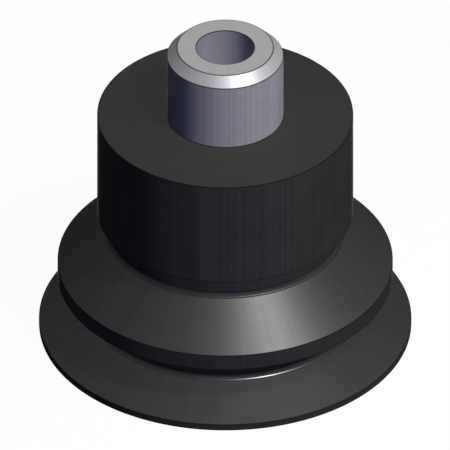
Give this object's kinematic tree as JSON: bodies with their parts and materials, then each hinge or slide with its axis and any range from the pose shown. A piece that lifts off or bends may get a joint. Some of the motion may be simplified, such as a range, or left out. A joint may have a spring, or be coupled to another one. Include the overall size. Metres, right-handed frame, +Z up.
{
  "type": "bellows suction cup",
  "caption": "Rubber bellows suction cup with a flared sealing lip, a folded wall and a bonded metal spigot with a smooth vacuum bore.",
  "frame": {"origin": "centre of the plane that the sealing lip rests on", "axes": "+Z up the cup's axis, from the sealing lip to the end of the metal spigot"},
  "size_m": [0.032, 0.032, 0.029],
  "materials": {
    "rubber": "satin moulded rubber, near black",
    "metal": "satin turned steel"
  },
  "bodies": {
    "root": {"bellows_cup": "rubber", "metal_insert": "metal"}
  },
  "joints": []
}
